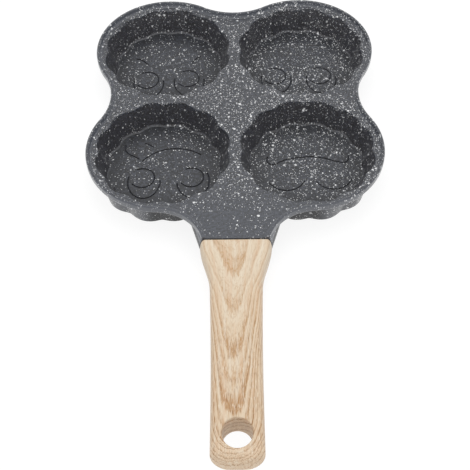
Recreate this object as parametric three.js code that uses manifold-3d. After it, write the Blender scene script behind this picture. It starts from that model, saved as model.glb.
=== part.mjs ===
// Four-cup egg pan: one cast body with four fluted cups and a neck, a screwed-on handle, and a base plate
// under each cup. Millimetres, +Z up. The pan stands on z = 0, its handle points along -Y and rises a
// little, and x = y = 0 is the middle of the whole outline.

import * as THREE from 'three';
import { mergeVertices } from 'three/addons/utils/BufferGeometryUtils.js';
import Module from 'manifold-3d';

const wasm = await Module();
wasm.setup();

// Cups
const cupRadius = 42.7; // mean radius of a cup's mouth at the deck
const cupDepth = 15.9; // deck to cup floor
const cupDraft = 20.4; // lean of a cup's inner wall, degrees
const cupFloorThickness = 3.7;
const cupFloorFillet = 2.4;
const cupMouthRound = 0.9;
const cupBaseWall = 5.5; // inner floor corner to outer base corner
const cupBaseRound = 1.6;
const outerDraft = 10; // lean of a cup's outer wall, degrees
const fluteCount = 12; // bulging flutes round each cup
const fluteDepth = 1.15; // mean radius to the crest of a flute, at the mouth
const fluteCrease = 0.16; // softness of the crease between two flutes

// Deck and rim
const bridgeWidth = 7; // deck between two neighbouring cups
const ledgeWidth = 4.6; // deck between a cup and the lip
const lipWidth = 1.8;
const lipHeight = 3.4;
const lipFillet = 2; // hollow between the deck and the inside of the lip
const deckThickness = 2.4;
const rimRound = 1.1;
const waistRadius = 41; // hollow of the outline between two cups

// Neck and tang
const neckLength = 23; // front of the cups to the handle seam
const neckTopWidth = 39; // at the seam
const neckFilletRadius = 30; // hollow between the rim and the neck
const neckRiseLength = 40; // run over which the neck turns up to the handle's slope
const neckFlare = 0.31; // growth of the neck's half width for each mm towards the cups
const neckRootHeight = 12; // depth of the neck where it joins the cups
const neckRootLength = 47.5; // seam to the root of the neck
const neckPocketWidth = 28;
const neckPocketRound = 6;
const neckEndWall = 8; // seam to the pocket under the neck
const neckPocketLength = 24;
const neckPocketRoof = 5; // metal left above the pocket
const tangWidth = 22;
const tangThickness = 6;
const tangRound = 1.5;
const tangEndMargin = 9; // screw to the end of the tang
const tangRootDepth = 4; // overlap of tang and neck

// Handle
const handleTilt = 7; // degrees above the table
const handleLength = 149.3;
const handleFrontWidth = 43.2;
const gripStartWidth = 30.7; // where the shoulder ends
const gripWidth = 27.8; // narrowest
const shoulderLength = 33;
const gripWaistPlace = 115; // seam to the narrowest place
const handleEndHeight = 13.8;
const handleTaperLength = 90; // run over which the handle gets thinner, past its screw
const handleEndRound = 7; // length of the round end, seen from above
const handleNoseRound = 6.5; // the same, seen from the side
const handleFrontRound = 0.8;
const topEdgeRound = 3; // width of the round between the flat top and the side
const bottomEdgeRound = 8;
const widestShare = 0.44; // depth of the widest line as a share of the height
const handleTopWall = 3.5; // above the tang's socket
const handleFloorWall = 2.5; // between the socket and the screw's seat
const hangHoleWidth = 15.9;
const hangHoleLength = 17.5;
const hangHoleEndWall = 7.7; // hole to the end of the handle
const hangHoleFlare = 0.8;

// Screw and washers
const screwDiameter = 5;
const screwSetback = 11; // seam to the screw's axis
const screwHeadDiameter = 9.4;
const screwHeadHeight = 2.6;
const screwHeadRound = 0.8;
const screwTipChamfer = 0.6;
const screwTipMargin = 1; // tip of the screw to the top of the tang
const crossSlotWidth = 1.2;
const crossSlotLength = 5.4;
const crossSlotDepth = 1.5;
const flatWasherDiameter = 10;
const flatWasherThickness = 1;
const springWasherDiameter = 9;
const springWasherThickness = 1.2;
const springWasherSplit = 14; // opening of the split ring, degrees

// Base plates
const basePlateRadius = 33;
const basePlateThickness = 1.2;
const basePlateProud = 0.3; // below the casting
const basePlateChamfer = 0.4;

// Clearance between pieces, and overlap of shapes that are joined or cut
const clearance = 0.3;
const overlap = 1;

// Fineness of the facets
const segmentsPerFlute = 6;
const arcStep = 7.5; // degrees along the outline
const cupRoundSteps = 2;
const roundSteps = 3;
const sectionSteps = 4;
const smallRoundSegments = 32;
const plateSegments = 48;
const gripStationLength = 9;
const shoulderStations = 7;
const neckStations = 8;
const weldDistance = 1e-4;

// Places worked out from the sizes above
const degree = Math.PI / 180;
const tilt = handleTilt * degree;
const cupOffset = cupRadius + bridgeWidth / 2;
const lobeRadius = cupRadius + ledgeWidth + lipWidth;
const castBaseZ = basePlateProud;
const floorZ = castBaseZ + cupFloorThickness;
const deckZ = floorZ + cupDepth;
const rimZ = deckZ + lipHeight;
const flangeZ = deckZ - deckThickness;
const cupFloorRadius = cupRadius - cupDepth * Math.tan(cupDraft * degree);
const cupBaseRadius = cupFloorRadius + cupBaseWall;
const panReach = cupOffset + lobeRadius;
const seamY = -panReach - neckLength;
const neckStartY = seamY + neckRiseLength;
const neckArcRadius = neckRiseLength / Math.sin(tilt);
const neckArcLength = neckArcRadius * tilt;
const clearAbove = 4 * lipHeight;

// Places in the handle's own frame: z = 0 is the top line, y = 0 the seam, and the handle runs along -Y
const tangLength = screwSetback + tangEndMargin;
const tangTopZ = -handleTopWall - clearance;
const tangMiddleZ = tangTopZ - tangThickness / 2;
const screwSeatZ = tangTopZ - tangThickness - clearance - handleFloorWall;
const flatWasherTopZ = screwSeatZ - clearance;
const springWasherTopZ = flatWasherTopZ - flatWasherThickness - clearance;
const screwHeadTopZ = springWasherTopZ - springWasherThickness - clearance;
const screwHeadBottomZ = screwHeadTopZ - screwHeadHeight;
const handleFrontHeight = clearance - screwHeadBottomZ;
const hangHoleY = -(handleLength - hangHoleEndWall - hangHoleLength / 2);

const cupPlaces = [];
for (const [end, ySign] of [['front', -1], ['rear', 1]]) {
  for (const [side, xSign] of [['left', -1], ['right', 1]]) {
    cupPlaces.push({ name: `${end}_${side}`, x: xSign * cupOffset, y: ySign * cupOffset });
  }
}

// A closed geometry as a solid that can be joined and cut
function solid(geometry) {
  const bare = new THREE.BufferGeometry();
  bare.setAttribute('position', geometry.getAttribute('position'));
  bare.setIndex(geometry.getIndex());
  const welded = mergeVertices(bare, weldDistance);
  const corners = welded.getIndex().array;
  const triVerts = [];
  for (let i = 0; i < corners.length; i += 3) {
    const [a, b, c] = corners.slice(i, i + 3);
    if (a !== b && b !== c && c !== a) {
      triVerts.push(a, b, c);
    }
  }
  const vertProperties = welded.getAttribute('position').array;
  return new wasm.Manifold(new wasm.Mesh({ numProp: 3, vertProperties, triVerts: new Uint32Array(triVerts) }));
}

// A finished solid as a named mesh
function part(name, shape, color, roughness, metalness) {
  const { vertProperties, triVerts } = shape.getMesh();
  const geometry = new THREE.BufferGeometry();
  geometry.setAttribute('position', new THREE.BufferAttribute(new Float32Array(vertProperties), 3));
  geometry.setIndex(new THREE.BufferAttribute(new Uint32Array(triVerts), 1));
  geometry.computeVertexNormals();
  const mesh = new THREE.Mesh(geometry, new THREE.MeshStandardMaterial({ color, roughness, metalness }));
  mesh.name = name;
  return mesh;
}

// Points along an arc between two angles in degrees
function arc(x, y, radius, from, to, steps = Math.ceil(Math.abs(to - from) / arcStep)) {
  const points = [];
  for (let i = 0; i <= steps; i += 1) {
    const angle = (from + (to - from) * i / steps) * degree;
    points.push(new THREE.Vector2(x + radius * Math.cos(angle), y + radius * Math.sin(angle)));
  }
  return points;
}

// A shape drawn in x and y, as a solid between two heights
function upright(shape, zLow, zHigh) {
  const geometry = new THREE.ExtrudeGeometry(shape, { depth: zHigh - zLow, bevelEnabled: false });
  geometry.translate(0, 0, zLow);
  return solid(geometry);
}

// A solid turned about an upright axis, from [radius, z] points
function turned(profile, segments) {
  const points = profile.map(([radius, z]) => new THREE.Vector2(radius, z));
  const geometry = new THREE.LatheGeometry(points, segments);
  geometry.rotateX(Math.PI / 2);
  return geometry;
}

function rod(radius, zLow, zHigh) {
  return turned([[0, zLow], [radius, zLow], [radius, zHigh], [0, zHigh]], smallRoundSegments);
}

// A bar with round edges that runs along -Y from one place to another
function bar(width, thickness, round, middleZ, yFrom, yTo) {
  const x = width / 2 - round;
  const z = thickness / 2 - round;
  const outline = new THREE.Shape([
    ...arc(x, z, round, 0, 90, roundSteps),
    ...arc(-x, z, round, 90, 180, roundSteps),
    ...arc(-x, -z, round, 180, 270, roundSteps),
    ...arc(x, -z, round, 270, 360, roundSteps),
  ]);
  const geometry = new THREE.ExtrudeGeometry(outline, { depth: yFrom - yTo, bevelEnabled: false });
  geometry.rotateX(Math.PI / 2);
  geometry.translate(0, yFrom, middleZ);
  return geometry;
}

// A closed skin over rings of points that follow each other, with a flat or pointed cap at both ends
function loft(rings, lastPoint) {
  const count = rings[0].length;
  const middle = (ring) => ring.reduce((sum, p) => sum.add(p), new THREE.Vector3()).divideScalar(count);
  const points = [...rings.flat(), middle(rings[0]), lastPoint ?? middle(rings.at(-1))];
  const firstPole = points.length - 2;
  const lastPole = points.length - 1;
  const lastRing = (rings.length - 1) * count;
  const index = [];
  for (let j = 0; j < count; j += 1) {
    const next = (j + 1) % count;
    for (let i = 0; i < lastRing; i += count) {
      index.push(i + j, i + count + j, i + next);
      index.push(i + next, i + count + j, i + count + next);
    }
    index.push(firstPole, j, next);
    index.push(lastPole, lastRing + next, lastRing + j);
  }
  const geometry = new THREE.BufferGeometry().setFromPoints(points);
  geometry.setIndex(index);
  return geometry;
}

// Flutes: the radius swells and shrinks round the axis, with a soft crease between two swells
function flute(geometry) {
  const position = geometry.getAttribute('position');
  const crest = Math.hypot(1, fluteCrease) - fluteCrease;
  for (let i = 0; i < position.count; i += 1) {
    const x = position.getX(i);
    const y = position.getY(i);
    const swing = Math.sin(fluteCount * Math.atan2(y, x) / 2);
    const swell = (Math.hypot(swing, fluteCrease) - fluteCrease) / crest;
    const grow = 1 + (fluteDepth / cupRadius) * (2 * swell - 1);
    position.setXY(i, x * grow, y * grow);
  }
  return geometry;
}

// The space inside a cup, open above the deck
function cupSpace() {
  const floorTangent = cupFloorFillet * Math.tan((90 - cupDraft) / 2 * degree);
  const mouthTangent = cupMouthRound * Math.tan((90 - cupDraft) / 2 * degree);
  const mouthEdge = cupRadius + mouthTangent;
  const floorFillet = arc(cupFloorRadius - floorTangent, floorZ + cupFloorFillet, cupFloorFillet,
    -90, -cupDraft, cupRoundSteps);
  const mouthRound = arc(mouthEdge, deckZ - cupMouthRound, cupMouthRound, 180 - cupDraft, 90, cupRoundSteps);
  return solid(flute(turned([
    [0, floorZ],
    ...floorFillet.map((p) => [p.x, p.y]),
    ...mouthRound.map((p) => [p.x, p.y]),
    [mouthEdge, deckZ + clearAbove],
    [0, deckZ + clearAbove],
  ], fluteCount * segmentsPerFlute)));
}

// The outside of a cup, from the cast base up into the deck
function cupOutside() {
  const topZ = deckZ - deckThickness / 2;
  const topRadius = cupBaseRadius + (topZ - castBaseZ) * Math.tan(outerDraft * degree);
  const baseTangent = cupBaseRound * Math.tan((90 - outerDraft) / 2 * degree);
  const baseRound = arc(cupBaseRadius - baseTangent, castBaseZ + cupBaseRound, cupBaseRound,
    -90, -outerDraft, cupRoundSteps);
  return solid(flute(turned([
    [0, castBaseZ],
    ...baseRound.map((p) => [p.x, p.y]),
    [topRadius, topZ],
    [0, topZ],
  ], fluteCount * segmentsPerFlute)));
}

// Outline of the deck: four lobes round the cups, a hollow between each two, and the neck in front
function deckOutline(inset) {
  const lobe = lobeRadius - inset;
  const waistReach = cupOffset + Math.sqrt((lobeRadius + waistRadius) ** 2 - cupOffset ** 2);
  const waistAngle = Math.atan2(cupOffset, waistReach - cupOffset) / degree;
  const waist = waistRadius + inset;
  const filletX = neckTopWidth / 2 + neckFilletRadius;
  const filletRise = Math.sqrt((lobeRadius + neckFilletRadius) ** 2 - (cupOffset - filletX) ** 2);
  const filletY = -cupOffset - filletRise;
  const filletAngle = Math.atan2(filletRise, cupOffset - filletX) / degree;
  const tongueEnd = Math.min(filletY, seamY) - neckEndWall;
  const rightHalf = [
    new THREE.Vector2(neckTopWidth / 2 - inset, tongueEnd),
    ...arc(filletX, filletY, neckFilletRadius + inset, 180, filletAngle),
    ...arc(cupOffset, -cupOffset, lobe, filletAngle - 180, waistAngle),
    ...arc(waistReach, 0, waist, 180 + waistAngle, 180 - waistAngle),
    ...arc(cupOffset, cupOffset, lobe, -waistAngle, 90 + waistAngle),
    ...arc(0, waistReach, waist, waistAngle - 90, -90),
  ];
  const leftHalf = rightHalf.slice(0, -1).reverse().map((p) => new THREE.Vector2(-p.x, p.y));
  return new THREE.Shape(dropRepeats([...rightHalf, ...leftHalf]));
}

function dropRepeats(points) {
  return points.filter((p, i) => p.distanceTo(points.at(i - 1)) > weldDistance);
}

// A plate of the deck's outline between two heights, round at its upper and lower edges
function roundedPlate(inset, zLow, zHigh, round) {
  const geometry = new THREE.ExtrudeGeometry(deckOutline(inset), {
    depth: zHigh - zLow - 2 * round,
    bevelThickness: round,
    bevelSize: round,
    bevelOffset: -round,
    bevelSegments: roundSteps - 1,
  });
  geometry.translate(0, 0, zLow + round);
  return solid(geometry);
}

// A place on the neck's top line, by its distance from where the neck starts to rise
function neckLine(distance) {
  const turn = THREE.MathUtils.clamp(distance / neckArcRadius, 0, tilt);
  const before = Math.min(distance, 0);
  const beyond = Math.max(distance - neckArcLength, 0);
  const y = neckStartY - before - neckArcRadius * Math.sin(turn) - beyond * Math.cos(turn);
  const z = deckZ + neckArcRadius * (1 - Math.cos(turn)) + beyond * Math.sin(turn);
  return { y, z, turn };
}

// What is cut away above the deck inside the lip: flat over the cups, rising along the neck
function spaceAboveDeck() {
  const rear = panReach + overlap;
  const top = rimZ + clearAbove;
  const side = new THREE.Shape();
  side.moveTo(rear, deckZ);
  for (let i = 0; i <= neckStations; i += 1) {
    const { y, z } = neckLine(neckArcLength * i / neckStations);
    side.lineTo(y, z);
  }
  const end = neckLine(neckArcLength + 2 * neckEndWall);
  side.lineTo(end.y, end.z);
  side.lineTo(end.y, top);
  side.lineTo(rear, top);
  const geometry = new THREE.ExtrudeGeometry(side, { depth: 2 * panReach, bevelEnabled: false });
  geometry.translate(0, 0, -panReach);
  const shapeToPan = new THREE.Matrix4().makeBasis(
    new THREE.Vector3(0, 1, 0), new THREE.Vector3(0, 0, 1), new THREE.Vector3(1, 0, 0));
  geometry.applyMatrix4(shapeToPan);
  return roundedPlate(lipWidth, deckZ, top, lipFillet).intersect(solid(geometry));
}

// Cross-section of neck and handle as [x, z] points: flat top and bottom, and round sides
function gripSection(halfWidth, height, topZ) {
  const widestZ = topZ - widestShare * height;
  const topRound = Math.min(topEdgeRound, halfWidth / 2);
  const bottomRound = Math.min(bottomEdgeRound, halfWidth / 2);
  const right = [];
  for (let i = 0; i <= sectionSteps; i += 1) {
    const angle = 90 * degree * i / sectionSteps;
    right.push([halfWidth - topRound * (1 - Math.sin(angle)), widestZ + (topZ - widestZ) * Math.cos(angle)]);
  }
  for (let i = 1; i <= sectionSteps; i += 1) {
    const angle = 90 * degree * i / sectionSteps;
    const drop = (height - (topZ - widestZ)) * Math.sin(angle);
    right.push([halfWidth - bottomRound * (1 - Math.cos(angle)), widestZ - drop]);
  }
  const left = right.map(([x, z]) => [-x, z]).reverse();
  return [...right, ...left];
}

// The solid neck, deepest at the seam and widest at the cups, along its top line
function neckSolid() {
  const rings = [];
  const run = neckRootLength + overlap;
  for (let i = 0; i <= neckStations; i += 1) {
    const beforeSeam = neckRootLength - run * i / neckStations;
    const { y, z, turn } = neckLine(neckArcLength - beforeSeam);
    const halfWidth = handleFrontWidth / 2 + neckFlare * beforeSeam;
    const height = handleFrontHeight + (neckRootHeight - handleFrontHeight) * beforeSeam / neckRootLength;
    rings.push(gripSection(halfWidth, height, 0).map(([x, drop]) => (
      new THREE.Vector3(x, y + drop * Math.sin(turn), z + drop * Math.cos(turn)))));
  }
  return solid(loft(rings));
}

// The hollow under the neck
function neckPocket() {
  const frontY = seamY + neckEndWall;
  const x = neckPocketWidth / 2 - neckPocketRound;
  const yNear = frontY + neckPocketRound;
  const yFar = frontY + neckPocketLength - neckPocketRound;
  const outline = new THREE.Shape([
    ...arc(x, yFar, neckPocketRound, 0, 90, roundSteps),
    ...arc(-x, yFar, neckPocketRound, 90, 180, roundSteps),
    ...arc(-x, yNear, neckPocketRound, 180, 270, roundSteps),
    ...arc(x, yNear, neckPocketRound, 270, 360, roundSteps),
  ]);
  return upright(outline, -overlap, deckZ - neckPocketRoof);
}

const handleFrame = new THREE.Group();
const seam = neckLine(neckArcLength);
handleFrame.position.set(0, seam.y, seam.z);
handleFrame.rotation.x = -tilt;
handleFrame.updateMatrix();

function inPanFrame(geometry) {
  return solid(geometry.applyMatrix4(handleFrame.matrix));
}

function panBody() {
  const beyondSeam = new THREE.BoxGeometry(2 * panReach, panReach, panReach).translate(0, -panReach / 2, 0);
  const tang = bar(tangWidth, tangThickness, tangRound, tangMiddleZ, tangRootDepth, -clearance - tangLength);
  const threadHole = rod(screwDiameter / 2 + clearance, tangTopZ - 2 * tangThickness, tangTopZ + overlap);
  threadHole.translate(0, -clearance - screwSetback, 0);
  const plateSeat = solid(rod(basePlateRadius + clearance, -overlap, basePlateThickness + clearance));
  const outside = cupOutside();
  const inside = cupSpace();
  let body = roundedPlate(0, flangeZ, rimZ, rimRound).subtract(spaceAboveDeck());
  body = body.add(neckSolid().subtract(neckPocket()));
  body = body.subtract(inPanFrame(beyondSeam));
  for (const { x, y } of cupPlaces) {
    body = body.add(outside.translate(x, y, 0));
  }
  for (const { x, y } of cupPlaces) {
    body = body.subtract(inside.translate(x, y, 0));
    body = body.subtract(plateSeat.translate(x, y, 0));
  }
  body = body.add(inPanFrame(tang));
  return body.subtract(inPanFrame(threadHole));
}

// Half width of the handle at a distance from the seam, without its round ends
function handleHalfWidth(distance) {
  const waistRun = gripWaistPlace - shoulderLength;
  const swell = (gripStartWidth - gripWidth) / 2;
  const gripHalf = (place) => gripWidth / 2 + swell * (Math.max(gripWaistPlace - place, 0) / waistRun) ** 2;
  const shoulder = handleFrontWidth / 2 - gripHalf(0);
  const fade = (1 + Math.cos(Math.PI * Math.min(distance / shoulderLength, 1))) / 2;
  return gripHalf(distance) + shoulder * fade;
}

// Height of the handle at a distance from the seam: full as far as the screw, then thinner
function handleHeight(distance) {
  const pastScrew = Math.max(distance - screwSetback - flatWasherDiameter, 0);
  const left = Math.max(1 - pastScrew / handleTaperLength, 0);
  return handleEndHeight + (handleFrontHeight - handleEndHeight) * left ** 2;
}

// How much of a size is left inside a round end that starts at a distance and has a length
function roundEnd(distance, start, length) {
  const share = THREE.MathUtils.clamp((distance - start) / length, 0, 1);
  return Math.sqrt(1 - share ** 2);
}

// One ring of the handle's skin, drawn in by an inset where the front edge is round
function handleRing(distance, inset = 0) {
  const widthLeft = roundEnd(distance, handleLength - handleEndRound, handleEndRound);
  const heightLeft = roundEnd(distance, handleLength - handleNoseRound, handleNoseRound);
  const fullHeight = handleHeight(distance);
  const halfWidth = handleHalfWidth(distance) * widthLeft - inset;
  const height = fullHeight * heightLeft - 2 * inset;
  const topZ = -widestShare * (fullHeight - height);
  return gripSection(halfWidth, height, topZ).map(([x, z]) => new THREE.Vector3(x, -distance, z));
}

function handleSkin() {
  const rings = [];
  for (let i = 0; i < roundSteps; i += 1) {
    const angle = 90 * degree * i / roundSteps;
    rings.push(handleRing(clearance + handleFrontRound * (1 - Math.cos(angle)),
      handleFrontRound * (1 - Math.sin(angle))));
  }
  const shoulderStart = clearance + handleFrontRound;
  for (let i = 0; i <= shoulderStations; i += 1) {
    rings.push(handleRing(shoulderStart + (shoulderLength - shoulderStart) * i / shoulderStations));
  }
  const gripLength = handleLength - handleEndRound - shoulderLength;
  const gripStations = Math.ceil(gripLength / gripStationLength);
  for (let i = 1; i <= gripStations; i += 1) {
    rings.push(handleRing(shoulderLength + gripLength * i / gripStations));
  }
  const endStations = 2 * roundSteps;
  for (let i = 1; i < endStations; i += 1) {
    const angle = 90 * degree * i / endStations;
    rings.push(handleRing(handleLength - handleEndRound * (1 - Math.sin(angle))));
  }
  return solid(loft(rings, new THREE.Vector3(0, -handleLength, -widestShare * handleEndHeight)));
}

// The hang hole, with its upper and lower edges flared
function hangHole() {
  const radius = hangHoleWidth / 2;
  const flared = radius + hangHoleFlare;
  const bottomZ = -handleHeight(-hangHoleY);
  const geometry = turned([
    [0, bottomZ - overlap],
    [flared, bottomZ - overlap],
    ...arc(flared, bottomZ + hangHoleFlare, hangHoleFlare, 270, 180, roundSteps).map((p) => [p.x, p.y]),
    ...arc(flared, -hangHoleFlare, hangHoleFlare, 180, 90, roundSteps).map((p) => [p.x, p.y]),
    [flared, overlap],
    [0, overlap],
  ], smallRoundSegments);
  geometry.scale(1, hangHoleLength / hangHoleWidth, 1);
  geometry.translate(0, hangHoleY, 0);
  return solid(geometry);
}

function handle() {
  const socket = bar(tangWidth + 2 * clearance, tangThickness + 2 * clearance, tangRound + clearance,
    tangMiddleZ, overlap, -tangLength - 2 * clearance);
  const screwY = -clearance - screwSetback;
  const shankHole = rod(screwDiameter / 2 + clearance, screwSeatZ - overlap, tangMiddleZ);
  const headWell = rod(flatWasherDiameter / 2 + clearance, -handleFrontHeight - overlap, screwSeatZ);
  return handleSkin()
    .subtract(solid(socket))
    .subtract(solid(shankHole.translate(0, screwY, 0)))
    .subtract(solid(headWell.translate(0, screwY, 0)))
    .subtract(hangHole());
}

function screw() {
  const headRadius = screwHeadDiameter / 2;
  const shankRadius = screwDiameter / 2;
  const tipZ = tangTopZ - screwTipMargin;
  const headEdge = arc(headRadius - screwHeadRound, screwHeadBottomZ + screwHeadRound, screwHeadRound,
    -90, 0, roundSteps);
  const blank = solid(turned([
    [0, screwHeadBottomZ],
    ...headEdge.map((p) => [p.x, p.y]),
    [headRadius, screwHeadTopZ],
    [shankRadius, screwHeadTopZ],
    [shankRadius, tipZ - screwTipChamfer],
    [shankRadius - screwTipChamfer, tipZ],
    [0, tipZ],
  ], smallRoundSegments));
  const slotZ = screwHeadBottomZ + crossSlotDepth / 2 - overlap / 2;
  const slot = new THREE.BoxGeometry(crossSlotLength, crossSlotWidth, crossSlotDepth + overlap);
  const crossSlot = new THREE.BoxGeometry(crossSlotWidth, crossSlotLength, crossSlotDepth + overlap);
  return blank.subtract(solid(slot.translate(0, 0, slotZ))).subtract(solid(crossSlot.translate(0, 0, slotZ)));
}

function flatWasher() {
  const inner = screwDiameter / 2 + clearance;
  const outer = flatWasherDiameter / 2;
  const bottomZ = flatWasherTopZ - flatWasherThickness;
  return solid(turned([
    [inner, bottomZ],
    [outer, bottomZ],
    [outer, flatWasherTopZ],
    [inner, flatWasherTopZ],
    [inner, bottomZ],
  ], smallRoundSegments));
}

// A split ring, pressed flat by the screw
function springWasher() {
  const inner = screwDiameter / 2 + clearance;
  const outer = springWasherDiameter / 2;
  const start = 270 + springWasherSplit / 2;
  const end = start + 360 - springWasherSplit;
  const outline = new THREE.Shape([
    ...arc(0, 0, outer, start, end, smallRoundSegments),
    ...arc(0, 0, inner, end, start, smallRoundSegments),
  ]);
  return upright(outline, springWasherTopZ - springWasherThickness, springWasherTopZ);
}

function basePlate() {
  return solid(turned([
    [0, 0],
    [basePlateRadius - basePlateChamfer, 0],
    [basePlateRadius, basePlateChamfer],
    [basePlateRadius, basePlateThickness],
    [0, basePlateThickness],
  ], plateSegments));
}

const pan = new THREE.Group();
pan.add(part('pan_body', panBody(), 0x5a5b60, 0.55, 0.2));

for (const { name, x, y } of cupPlaces) {
  const plate = part(`base_plate_${name}`, basePlate(), 0xb4b5b8, 0.35, 0.9);
  plate.position.set(x, y, 0);
  pan.add(plate);
}

handleFrame.add(part('handle', handle(), 0xdcc3a2, 0.5, 0));
const fasteners = [
  part('handle_screw', screw(), 0xc2c4c8, 0.3, 0.9),
  part('flat_washer', flatWasher(), 0xb9bbbf, 0.35, 0.9),
  part('spring_washer', springWasher(), 0x9a9ca1, 0.4, 0.9),
];
for (const fastener of fasteners) {
  fastener.position.y = -clearance - screwSetback;
  handleFrame.add(fastener);
}
pan.add(handleFrame);

// The origin comes to the middle of the outline
pan.updateMatrixWorld(true);
const reach = new THREE.Box3().setFromObject(pan, true);
pan.position.y = -(reach.min.y + reach.max.y) / 2;

export default pan;
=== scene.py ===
"""Looks of the four-cup egg pan: a fine cast body with a speckled coating, a wood-grain handle, steel base
plates and fasteners, a white floor, soft light and the photograph's camera.

Sizes are in millimetres in the pan's own frame: x = y = 0 is the middle between the cups, z = 0 the level the
pan stands on, and the handle points along -Y. Making an object moves its mesh to the row frame, in metres.
"""

from functools import reduce
from itertools import count
from math import atan2, ceil, cos, degrees, dist, floor, hypot, pi, radians, sin, sqrt, tan

import bmesh
import bpy
from mathutils import Matrix, Vector
from mathutils.geometry import delaunay_2d_cdt, interpolate_bezier


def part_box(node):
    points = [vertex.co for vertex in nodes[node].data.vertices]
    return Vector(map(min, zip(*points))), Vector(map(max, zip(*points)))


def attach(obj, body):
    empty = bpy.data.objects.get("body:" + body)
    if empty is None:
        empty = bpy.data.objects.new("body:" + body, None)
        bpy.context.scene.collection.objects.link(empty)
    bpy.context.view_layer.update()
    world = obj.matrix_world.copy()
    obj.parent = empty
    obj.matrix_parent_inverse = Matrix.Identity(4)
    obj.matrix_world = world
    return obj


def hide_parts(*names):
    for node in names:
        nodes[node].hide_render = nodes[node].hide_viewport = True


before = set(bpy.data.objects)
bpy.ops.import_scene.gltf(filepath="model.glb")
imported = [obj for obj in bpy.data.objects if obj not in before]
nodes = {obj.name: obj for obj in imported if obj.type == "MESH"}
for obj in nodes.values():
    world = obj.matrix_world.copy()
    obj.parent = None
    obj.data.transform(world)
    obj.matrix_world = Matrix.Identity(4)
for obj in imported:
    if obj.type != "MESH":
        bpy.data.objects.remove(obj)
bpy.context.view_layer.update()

MM = 0.001
BODY = "root"
CUP_NAMES = ("front_left", "front_right", "rear_left", "rear_right")
SQUARE = ((1, 1), (-1, 1), (-1, -1), (1, -1))

# Cups
CUP_RADIUS = 42.7
CUP_DEPTH = 15.9
CUP_DRAFT = radians(20.4)
CUP_FLOOR_THICKNESS = 3.7
CUP_FLOOR_FILLET = 1.7
CUP_MOUTH_ROUND = 0.9
CUP_BASE_WALL = 5.5
CUP_BASE_ROUND = 1.6
CUP_ROOT_FILLET = 0.8
OUTER_DRAFT = radians(10)
FLUTE_COUNT = 12
FLUTE_DEPTH = 1.15
FLUTE_CREASE = 0.16

# Deck and rim
BRIDGE_WIDTH = 7
LEDGE_WIDTH = 4.6
LIP_WIDTH = 1.8
LIP_HEIGHT = 3.4
LIP_FOOT_FILLET = 2
LIP_CROWN_ROUND = 0.8
LIP_LEAN = radians(18)
DECK_THICKNESS = 2.4
RIM_ROUND = 1.1
HEM_ROUND = 1.6
WAIST_RADIUS = 41

# Neck and tang
NECK_LENGTH = 23
NECK_TOP_WIDTH = 39
NECK_FILLET_RADIUS = 30
NECK_RISE_LENGTH = 40
NECK_FLARE = 0.31
NECK_ROOT_HEIGHT = 12
NECK_ROOT_LENGTH = 47.5
NECK_TOP_DROP = 0.6
NECK_POCKET_WIDTH = 28
NECK_POCKET_ROUND = 6
NECK_POCKET_LENGTH = 24
NECK_POCKET_ROOF = 5
NECK_END_WALL = 8
NECK_OVERRUN = 4
TANG_WIDTH = 22
TANG_THICKNESS = 6
TANG_ROUND = 1.5
TANG_END_MARGIN = 9
TANG_ROOT_DEPTH = 4

# Handle
HANDLE_TILT = radians(7)
HANDLE_LENGTH = 149.3
HANDLE_FRONT_WIDTH = 43.2
HANDLE_FRONT_HEIGHT = 18.6
GRIP_START_WIDTH = 30.7
GRIP_WIDTH = 27.8
SHOULDER_LENGTH = 33
GRIP_WAIST_PLACE = 115
HANDLE_END_HEIGHT = 13.8
HANDLE_TAPER_START = 21
HANDLE_TAPER_LENGTH = 90
HANDLE_END_ROUND = 7
HANDLE_NOSE_ROUND = 6.5
HANDLE_FRONT_ROUND = 1
TOP_EDGE_ROUND = 3
BOTTOM_EDGE_ROUND = 8
WIDEST_SHARE = 0.44
HANDLE_TOP_WALL = 3.5
HANDLE_FLOOR_WALL = 2.5
HANG_HOLE_WIDTH = 15.9
HANG_HOLE_LENGTH = 17.5
HANG_HOLE_END_WALL = 7.7
HANG_HOLE_FLARE = 0.8

# Screw
SCREW_DIAMETER = 5
SCREW_SETBACK = 11
WASHER_DIAMETER = 10

# Base plates
BASE_PLATE_PROUD = 0.3
BASE_PLATE_THICKNESS = 1.2

# Faces pressed into the cup floors: eyes towards the handle, mouth away from it, angles in degrees
GROOVE_HALF_WIDTH = 0.55
GROOVE_DEPTH = 0.9
FAINT_GROOVE_DEPTH = 0.3
EYE_RADIUS = 7.9
EYE_CURL_SHIFT = 1.2
EYE_CURL_ANGLES = (122, -147)
EYE_RING_RADIUS = 10.4
EYE_RING_STRETCH = 1.32
EYE_RING_DROP = 3.2
EYE_RING_ANGLES = (165, 372)
SHUT_EYE_RADIUS = 12.5
SHUT_EYE_ANGLES = (207, 341)
GRIN_RADIUS = 27
GRIN_ANGLES = (51, 144)

# Section of a groove: share of its half width, share of its depth
GROOVE_SECTION = ((-1, 0), (-0.8, 0.25), (-0.45, 0.85), (0, 1), (0.45, 0.85), (0.8, 0.25), (1, 0))

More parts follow.
